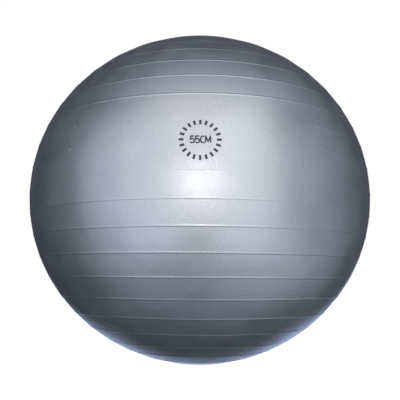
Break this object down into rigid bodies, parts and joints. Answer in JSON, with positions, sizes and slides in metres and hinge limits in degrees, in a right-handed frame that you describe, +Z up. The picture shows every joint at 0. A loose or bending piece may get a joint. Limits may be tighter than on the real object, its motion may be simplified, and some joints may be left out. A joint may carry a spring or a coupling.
{
  "type": "exercise ball",
  "caption": "Inflated ribbed vinyl exercise ball with a smooth print panel, a welded-in valve seat and a push-in plug that pulls out.",
  "frame": {"origin": "centre of the small flat patch that the ball rests on, at the bottom pole of its ribs", "axes": "+Z up along the axis that the ribs go round, through the valve at the top pole; -Y is the front, where the smooth print panel is; +X to the right of someone facing the panel"},
  "size_m": [0.55, 0.5496, 0.5305],
  "materials": {
    "shell": "satin",
    "valve_seat": "satin",
    "plug": "gloss",
    "print_ink": "matte"
  },
  "bodies": {
    "ball": {"ball_shell": "shell", "valve_seat": "valve_seat"},
    "plug": {"valve_plug": "plug"}
  },
  "joints": [
    {"name": "plug_slide", "type": "slide", "parent": "ball", "child": "plug", "axis": [0, 0, 1], "range_m": [0, 0.03]}
  ]
}
